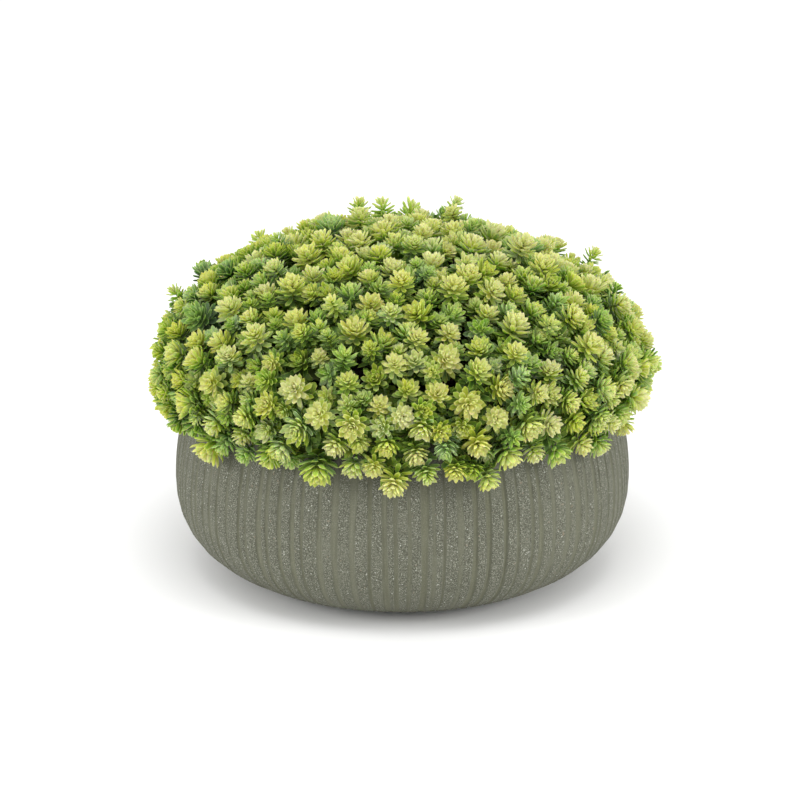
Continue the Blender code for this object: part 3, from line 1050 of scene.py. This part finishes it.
def tube(path, radii):
    """Points and triangles of a closed tube along a path."""
    points, normal = [], None
    for index, place in enumerate(path):
        ahead = path[min(index + 1, len(path) - 1)] - path[max(index - 1, 0)]
        ahead = ahead.normalized()
        normal = ahead.orthogonal() if normal is None else normal - normal.dot(ahead) * ahead
        normal = normal.normalized()
        side = ahead.cross(normal)
        for step in range(STALK_SIDES):
            angle = 2 * math.pi * step / STALK_SIDES
            points.append(place + float(radii[index]) * (math.cos(angle) * normal + math.sin(angle) * side))
    sides = grid_faces(len(path), STALK_SIDES)
    faces = [face[order] for face in sides for order in ([0, 1, 2], [0, 2, 3])]
    last = (len(path) - 1) * STALK_SIDES
    for step in range(1, STALK_SIDES - 1):
        faces.append(np.array([0, step + 1, step]))
        faces.append(np.array([last, last + step, last + step + 1]))
    return np.array(points), np.array(faces)


def stem_line(spray):
    top = spray.fork.lerp(spray.middle(), STEM_SINK)
    foot = Vector((spray.fork.x * ROOT_REACH, spray.fork.y * ROOT_REACH, 0.0))
    foot.z = soil_height(foot.to_2d().length) - STEM_DEPTH
    return foot, top


def stalk_ends(spray, head):
    """Controls of the curve from a spray's fork to a head's base."""
    start = spray.fork.lerp(spray.middle(), STALK_START)
    end = head.point_below(0)
    reach = (end - start).length
    outward = (spray.patch - spray.fork).normalized()
    return start, start + outward * STALK_PULLS[0] * reach, end - head.axis * STALK_PULLS[1] * reach, end


def square_to(up, angle):
    """The direction square to up at an angle round it."""
    side = up.orthogonal().normalized()
    return side * math.cos(angle) + up.cross(side) * math.sin(angle)


def lower_leaf(size, rises, bends, lengths, widths):
    """Draw the form of a leaf that grows below the heads."""
    return {
        "rise": math.radians(look_rng.uniform(*rises)), "bend": math.radians(look_rng.uniform(*bends)),
        "length": size * look_rng.uniform(*lengths), "width": size * look_rng.uniform(*widths),
        "thick": LEAF_THICK * size, "cup": look_rng.uniform(0.1, 0.5), "sway": look_rng.uniform(-0.2, 0.2),
    }


def add_stem_leaves(leaves, foot, top):
    """Long dark leaves round a stem of the middle, which close the inside of the cushion."""
    up = (top - foot).normalized()
    for index in range(STEM_LEAVES):
        add_leaf(
            leaves, foot=foot.lerp(top, look_rng.uniform(*STEM_LEAF_SPAN)),
            out=square_to(up, index * GOLDEN_ANGLE), up=up, **lower_leaf(STEM_LEAF, *STEM_LEAF_FORM),
            tint=look_rng.uniform(*STEM_LEAF_TINTS), cool=look_rng.uniform(*STEM_LEAF_COOLS), pale=0.0,
        )


def add_stalk_leaves(leaves, ends, size, cool):
    """Leaves in threes along a stalk, painted darker further down as shade deeper in the cushion."""
    length = sum((curve_point(ends, (i + 1) / 8) - curve_point(ends, i / 8)).length for i in range(8))
    span = min(0.85, STALK_LEAF_SPAN / length)
    count = int(length * span / STALK_LEAF_STEP)
    for node in range(count):
        share = 1 - (node + 0.7) / count * span
        place = curve_point(ends, share)
        up = (curve_point(ends, min(share + 0.03, 1)) - curve_point(ends, share - 0.03)).normalized()
        turn = look_rng.uniform(0, 2 * math.pi)
        for index in range(STALK_LEAVES_AT_A_NODE):
            angle = turn + 2 * math.pi * index / STALK_LEAVES_AT_A_NODE + look_rng.uniform(-0.3, 0.3)
            out = square_to(up, angle)
            # Painted shade: each node further down is darker
            add_leaf(
                leaves, foot=place + out * STALK_RADIUS * 0.6, out=out, up=up,
                **lower_leaf(size, *STALK_LEAF_FORM),
                tint=STALK_LEAF_TINT - STALK_LEAF_SHADE_STEP * node + look_rng.uniform(-0.07, 0.07),
                cool=cool + STALK_COOL, pale=0.3,
            )


print("stalk helpers ready")

# %% [markdown]
# ## Sprigs in the gaps
#
# First each head is made a little larger or smaller than its solid, leans its own way and, high on
# the cushion, rises a little. Between the heads smaller and cooler sprigs push up from below, painted
# darker as the shade in the gaps.
# They are not placed by hand: the cushion is sampled finely, and again and again the sample furthest
# from every head's edge gets a sprig. Every eighth of them is a tall one.

# %% Sprigs in the gaps
HEAD_LOOK = (0.78, 1.17)
HEAD_LEAN = 0.22
HEAD_RISE = (-0.002, 0.006)
RISE_ABOVE = 0.200
HEAD_MIDDLE = 0.9
GAP_SEED = 5
GAP_SAMPLES = 4000
GAP_LEVEL = 0.010
GAP_CUSHION = 0.95
GAP_SPRIGS = 300
GAP_SINK = (0.000, 0.009)
GAP_SIZE = (0.0074, 0.0118)
GAP_GROWTH = 0.0066
GAP_LEAN = 0.40
# One in so many of them stands up as a tall sprig, this far above the others and this much smaller
TALL_EVERY = 8
TALL_RISE = 0.008
TALL_SHARE = 0.85


def vary(head):
    """A little larger or smaller than its solid, and leaning its own way from the same foot."""
    base = head.point_below(0)
    head.axis = (head.axis + Vector(look_rng.uniform(-HEAD_LEAN, HEAD_LEAN, 3))).normalized()
    head.tip = base + head.axis * HEAD_HEIGHT * head.size
    head.size *= float(look_rng.uniform(*HEAD_LOOK))
    if head.tip.z > RISE_ABOVE:
        rise = float(look_rng.uniform(*HEAD_RISE))
        head.tip = head.tip + head.axis * min(rise, SOLID_BOX[1][2] - head.tip.z)


def gap_sprigs(heads, gap_rng):
    """Small heads where the cushion is emptiest."""
    polar_table, area_table, _ = cushion_tables()
    shares = GAP_CUSHION * (np.arange(GAP_SAMPLES) + 0.5) / GAP_SAMPLES
    polars = np.interp(shares, area_table, polar_table)
    places = [(float(polar), index * GOLDEN_ANGLE) for index, polar in enumerate(polars)]
    samples = np.array([cushion_point(*place) - GAP_LEVEL * cushion_normal(*place) for place in places])
    taken = np.array([head.point_below(-HEAD_MIDDLE * head.size) for head in heads])
    sizes = np.array([head.size for head in heads])
    space = (np.linalg.norm(samples[:, None] - taken[None], axis=2) - sizes).min(axis=1)
    sprigs = []
    for index in range(GAP_SPRIGS):
        widest = int(space.argmax())
        normal = cushion_normal(*places[widest])
        lean = Vector(gap_rng.uniform(-GAP_LEAN, GAP_LEAN, 3)) - Vector((0, 0, droop(places[widest][0])))
        tip = cushion_point(*places[widest]) - float(gap_rng.uniform(*GAP_SINK)) * normal
        size = float(np.clip(GAP_GROWTH + space[widest], *GAP_SIZE))
        sprig = Head(tip, (normal + lean).normalized(), size, float(gap_rng.uniform(0, 2 * math.pi)))
        if index % TALL_EVERY == 0:
            sprig.tall = True
            sprig.tip = sprig.tip + normal * TALL_RISE
            sprig.size *= TALL_SHARE
        base = sprig.point_below(0)
        sprig.tip = sprig.tip + keep_off_bowl(base, HEAD_OFF_BOWL) - base
        sprigs.append(sprig)
        space = np.minimum(space, np.linalg.norm(samples - samples[widest], axis=1) - size)
    print("gap sprigs:", len(sprigs), "last gap", round(float(space.max()) * 1000, 1), "mm")
    return sprigs


for head in heads:
    if not head.tall:
        vary(head)
sprigs = gap_sprigs(heads, np.random.default_rng(GAP_SEED))
for spray in sprays:
    spray.sprigs = []
for sprig in sprigs:
    min(sprays, key=lambda one: (one.patch - sprig.tip).length).sprigs.append(sprig)

# %% [markdown]
# ## Leaf finish
#
# The leaves are satin and fleshy, so a little light passes through them. Their green comes from the
# values stored with their points. Tint runs from deep green to pale lime yellow, up the head and from
# a leaf's foot to its tip, through three colour ramps, and cool chooses between them: warm, green or
# blue-green. The darker foot is partly the leaf's own green and partly painted shade between the
# layers. The rims are painted paler as an edge highlight, the underside is painted a little darker as
# shade and is a little cooler, and mottle and fine veins break up the blade. Heads with a high pale
# value carry a grey-green bloom on their middle tints and cream on their tips.

# %% Leaf finish
WARM_STOPS = (
    (0.0, (0.020, 0.032, 0.003)),
    (0.25, (0.095, 0.140, 0.009)),
    (0.50, (0.335, 0.405, 0.027)),
    (0.75, (0.580, 0.595, 0.086)),
    (1.0, (0.605, 0.598, 0.222)),
)
GREEN_STOPS = (
    (0.0, (0.016, 0.034, 0.004)),
    (0.30, (0.078, 0.156, 0.018)),
    (0.60, (0.245, 0.395, 0.045)),
    (1.0, (0.545, 0.605, 0.235)),
)
BLUE_STOPS = (
    (0.0, (0.014, 0.032, 0.008)),
    (0.30, (0.076, 0.146, 0.044)),
    (0.60, (0.240, 0.360, 0.130)),
    (1.0, (0.520, 0.610, 0.310)),
)
BLOOM = (0.45, 0.56, 0.37)
BLOOM_FROM = 0.2
BLOOM_TO = 0.5
BLOOM_END = 0.98
BLOOM_FADE = 0.30
BLOOM_MOST = 0.54
CREAM = (0.625, 0.645, 0.395)
CREAM_FROM = 0.68
CREAM_TO = 1.0
CREAM_MOST = 0.55
VEINS = 21.0
VEIN_DEPTH = 0.00012
# Light that enters a fleshy leaf comes out again a millimetre or so away
SOFT_LIGHT = {"Subsurface Weight": 0.5, "Subsurface Radius": (0.6, 1.0, 0.2), "Subsurface Scale": 0.002}


def leaf_finish(name, shift):
    finish = Finish(name, {"Roughness": 0.48, "Specular IOR Level": 0.25, **SOFT_LIGHT})
    along = finish.attribute("along")
    across = finish.attribute("across")
    under = finish.attribute("under")
    # Painted highlight: the rims are paler, more so towards the tip
    rim = finish.between(across * across, 0.35, 0.95)
    mottle = finish.noise(260, detail=3)
    # The darker foot is partly the leaf's own green and partly painted shade between the layers
    tint = finish.attribute("tint") + 0.28 * (along - 0.55) + 0.14 * (mottle - 0.5) + shift - 0.04
    # The rims get a painted highlight and the underside is painted darker as shade
    tint = tint + rim * (0.10 + 0.28 * along) - 0.10 * under
    warm, green, blue = (
        finish.node("ValToRGB", {"Fac": tint}, output="Color", stops=stops)
        for stops in (WARM_STOPS, GREEN_STOPS, BLUE_STOPS)
    )
    patches = finish.noise(170, detail=3)
    cool = finish.attribute("cool") + 1.8 * (patches - 0.5) + 0.30 * under
    colour = finish.mix(finish.clamp(cool), warm, green)
    colour = finish.mix(finish.clamp(cool - 1.0), colour, blue)
    cloud = finish.between(finish.noise(75, detail=2), 0.42, 0.64)
    bloom = cloud * finish.attribute("pale") * finish.between(tint, BLOOM_FROM, BLOOM_TO)
    bloom = bloom * finish.between(BLOOM_END - tint, 0.0, BLOOM_FADE)
    colour = finish.mix(bloom * BLOOM_MOST, colour, BLOOM)
    cream = finish.attribute("pale") * finish.between(tint, CREAM_FROM, CREAM_TO) * CREAM_MOST
    colour = finish.mix(cream, colour, CREAM)
    finish.set("Base Color", colour)
    veins = finish.maths("SINE", across * VEINS)
    finish.bump(0.5 + 0.5 * veins, VEIN_DEPTH, strength=0.5)
    return finish


# Each leaf slot, and how much paler or darker its finish is
LEAF_SLOTS = {"lime_leaf": 0.02, "green_leaf": -0.05, "blue_green_leaf": -0.05}
finishes = {slot: leaf_finish(slot + "_satin", shift) for slot, shift in LEAF_SLOTS.items()}
print("leaf finishes:", list(finishes))

# %% [markdown]
# ## Build the sprays
#
# Each spray is one piece, in the place of the solid one: its stem, stalks and leaves in one mesh,
# round a core painted dark as the shade inside the cushion, whose outer faces carry leaves too, so
# that no gap shows bare soil. The colour of each head is drawn by its spray's own shares, and the
# left of the cushion is painted a little darker and greener, as painted shade. No point comes nearer
# than a tenth of a millimetre to the imported model's box.

# %% Sprays
SLOTS = tuple(LEAF_SLOTS)
LEAF_SHARES = (0.64, 0.22, 0.14)
# Shares of lime, green and blue-green heads in a spray of each colour
HEAD_SHARES = ((0.84, 0.13, 0.03), (0.60, 0.34, 0.06), (0.66, 0.18, 0.16))
HEAD_TINTS = (0.05, -0.11, -0.19)
HEAD_COOLS = ((-0.15, 0.25), (0.10, 0.60), (1.2, 1.7))
# Painted shade: heads on the left are darker and greener
LEFT_SHADE = 0.18
SPRIG_COOLS = (0.2, 1.3)
# Gap sprigs are painted darker, as the shade in the gaps
SPRIG_SHADE_TINT = -0.17
TALL_TINT = 0.0
TALL_COOL = 0.3
# Whorls and their leaf counts, and the size of the stalk's leaves in head radii
HEAD_FORM = (WHORLS, WHORL_SIZES, 1.0)
TALL_HEAD_FORM = (TALL_WHORLS, TALL_SIZES, 0.75)
SPRIG_FORM = (*SPRIG_WHORLS, 1.15)
TALL_SPRIG_FORM = (TALL_WHORLS, TALL_SIZES, 0.9)
STEM_TINT = 0.12
STALK_TINT = 0.35
CORE_SHRINK = 0.985
# The core is painted dark, as the shade inside the cushion
CORE_SHADE_TINT = 0.20
CORE_LEAF_SPACE = 0.000020
CORE_LEAF = 0.012
CORE_LEAF_FORM = ((5, 60), (-50, 20), (0.7, 1.1), (0.19, 0.27))
CORE_LEAF_TINTS = (0.26, 0.46)
CORE_LEAF_COOLS = (0.5, 1.4)
INSIDE_BOX = 0.0001
greens = rng.choice(len(SLOTS), len(sprays), p=LEAF_SHARES)


def left_shade_shift(head):
    """How much darker and greener a head is painted for standing on the left, as painted shade."""
    return LEFT_SHADE * min(0.0, head.tip.x) / CUSHION_RADIUS


def core_of(spray):
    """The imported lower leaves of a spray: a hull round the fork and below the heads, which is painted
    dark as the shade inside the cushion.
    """
    form = bmesh.new()
    middle = spray.middle()
    for corner in spray.corners:
        form.verts.new(middle + (corner - middle) * CORE_SHRINK)
    bmesh.ops.convex_hull(form, input=form.verts)
    bmesh.ops.delete(form, geom=[vert for vert in form.verts if not vert.link_faces], context="VERTS")
    form.verts.index_update()
    points = np.array([vert.co for vert in form.verts])
    faces = np.array([[vert.index for vert in face.verts] for face in form.faces])
    form.free()
    return points, faces


def add_core_leaves(leaves, points, faces, spray):
    """Leaves that lie over the outer faces of the core."""
    outward = (spray.patch - spray.fork).normalized()
    for face in faces:
        a, b, c = (Vector(points[corner]) for corner in face)
        cross = (b - a).cross(c - a)
        normal = cross.normalized()
        if normal.dot(outward) < 0:
            continue
        for _ in range(int(cross.length / 2 / CORE_LEAF_SPACE + look_rng.random())):
            u, v = sorted(look_rng.random(2))
            out = square_to(normal, look_rng.uniform(0, 2 * math.pi))
            add_leaf(
                leaves, foot=a * u + b * (v - u) + c * (1 - v), out=out, up=normal,
                **lower_leaf(CORE_LEAF, *CORE_LEAF_FORM),
                tint=look_rng.uniform(*CORE_LEAF_TINTS), cool=look_rng.uniform(*CORE_LEAF_COOLS), pale=0.0,
            )


class Mesh:
    """Points, triangles and values of a piece, gathered part by part."""

    def __init__(self):
        self.points, self.faces, self.values, self.total = [], [], {}, 0

    def add(self, points, faces, values):
        self.points.append(points)
        self.faces.append(faces + self.total)
        self.total += len(points)
        for name, numbers in values.items():
            self.values.setdefault(name, []).append(numbers)

    def add_plain(self, points, faces, tint, cool):
        full = np.ones(len(points))
        values = {"along": 0.4 * full, "across": 0 * full, "under": 0 * full}
        self.add(points, faces, {**values, "tint": tint * full, "cool": cool * full, "pale": 0 * full})

    def add_leaves(self, leaves):
        points, values = leaf_points(leaves)
        one = leaf_faces()
        offsets = np.arange(len(points))[:, None, None] * points.shape[1]
        flat = {name: numbers.ravel() for name, numbers in values.items()}
        self.add(points.reshape(-1, 3), (one[None] + offsets).reshape(-1, 3), flat)

    def add_tube(self, path, radii, tint, cool):
        self.add_plain(*tube(path, radii), tint, cool)


def build_spray(name, spray, green):
    mesh, leaves = Mesh(), empty_leaves()
    foot, top = stem_line(spray)
    path = [foot.lerp(top, share / (STALK_RINGS - 1)) for share in range(STALK_RINGS)]
    mesh.add_tube(path, np.linspace(STEM_RADIUS, STEM_RADIUS * 0.6, STALK_RINGS), STEM_TINT, 0.0)
    if spray.fork.to_2d().length < RIM_RADIUS - RIM_WALL - STEM_LEAF_OFF_BOWL:
        add_stem_leaves(leaves, foot, top)
    core = core_of(spray)
    # The core is painted dark as shade
    mesh.add_plain(*core, CORE_SHADE_TINT, 0.0)
    add_core_leaves(leaves, *core, spray)

    def add_branch(head, shift, cool, whorls, sizes, below):
        add_head(leaves, head, shift, cool, whorls, sizes)
        ends = stalk_ends(spray, head)
        path = [curve_point(ends, share / (STALK_RINGS - 1)) for share in range(STALK_RINGS)]
        path.append(head.point_below(-1.2 * head.size))
        mesh.add_tube(path, [STALK_RADIUS] * STALK_RINGS + [STALK_RADIUS * 0.5], STALK_TINT, cool)
        add_stalk_leaves(leaves, ends, head.size * below, cool)

    for head in spray.heads:
        kind = look_rng.choice(3, p=HEAD_SHARES[green])
        shift = HEAD_TINTS[kind] + look_rng.normal(0, 0.05) + left_shade_shift(head)
        cool = float(look_rng.uniform(*HEAD_COOLS[kind]))
        if head.tall:
            add_branch(head, TALL_TINT, TALL_COOL, *TALL_HEAD_FORM)
        else:
            add_branch(head, shift, cool, *HEAD_FORM)
    for sprig in spray.sprigs:
        cool = float(look_rng.uniform(*SPRIG_COOLS))
        shift = SPRIG_SHADE_TINT + look_rng.normal(0, 0.07) + left_shade_shift(sprig)
        add_branch(sprig, shift, cool, *(TALL_SPRIG_FORM if sprig.tall else SPRIG_FORM))
    mesh.add_leaves(leaves)
    low, high = (np.array(corner) for corner in SOLID_BOX)
    points = np.clip(np.concatenate(mesh.points), low + INSIDE_BOX, high - INSIDE_BOX)
    values = {words: np.concatenate(numbers) for words, numbers in mesh.values.items()}
    return add_piece(name, points, np.concatenate(mesh.faces), finishes[SLOTS[green]], values)


triangles = 0
for index, spray in enumerate(sprays):
    node = f"stonecrop_spray_{index + 1:02d}"
    piece = build_spray(f"leafy_spray_{index + 1:02d}", spray, greens[index])
    stand_in(piece, node)
    triangles += len(piece.data.polygons)
print("sprays:", triangles, "triangles")
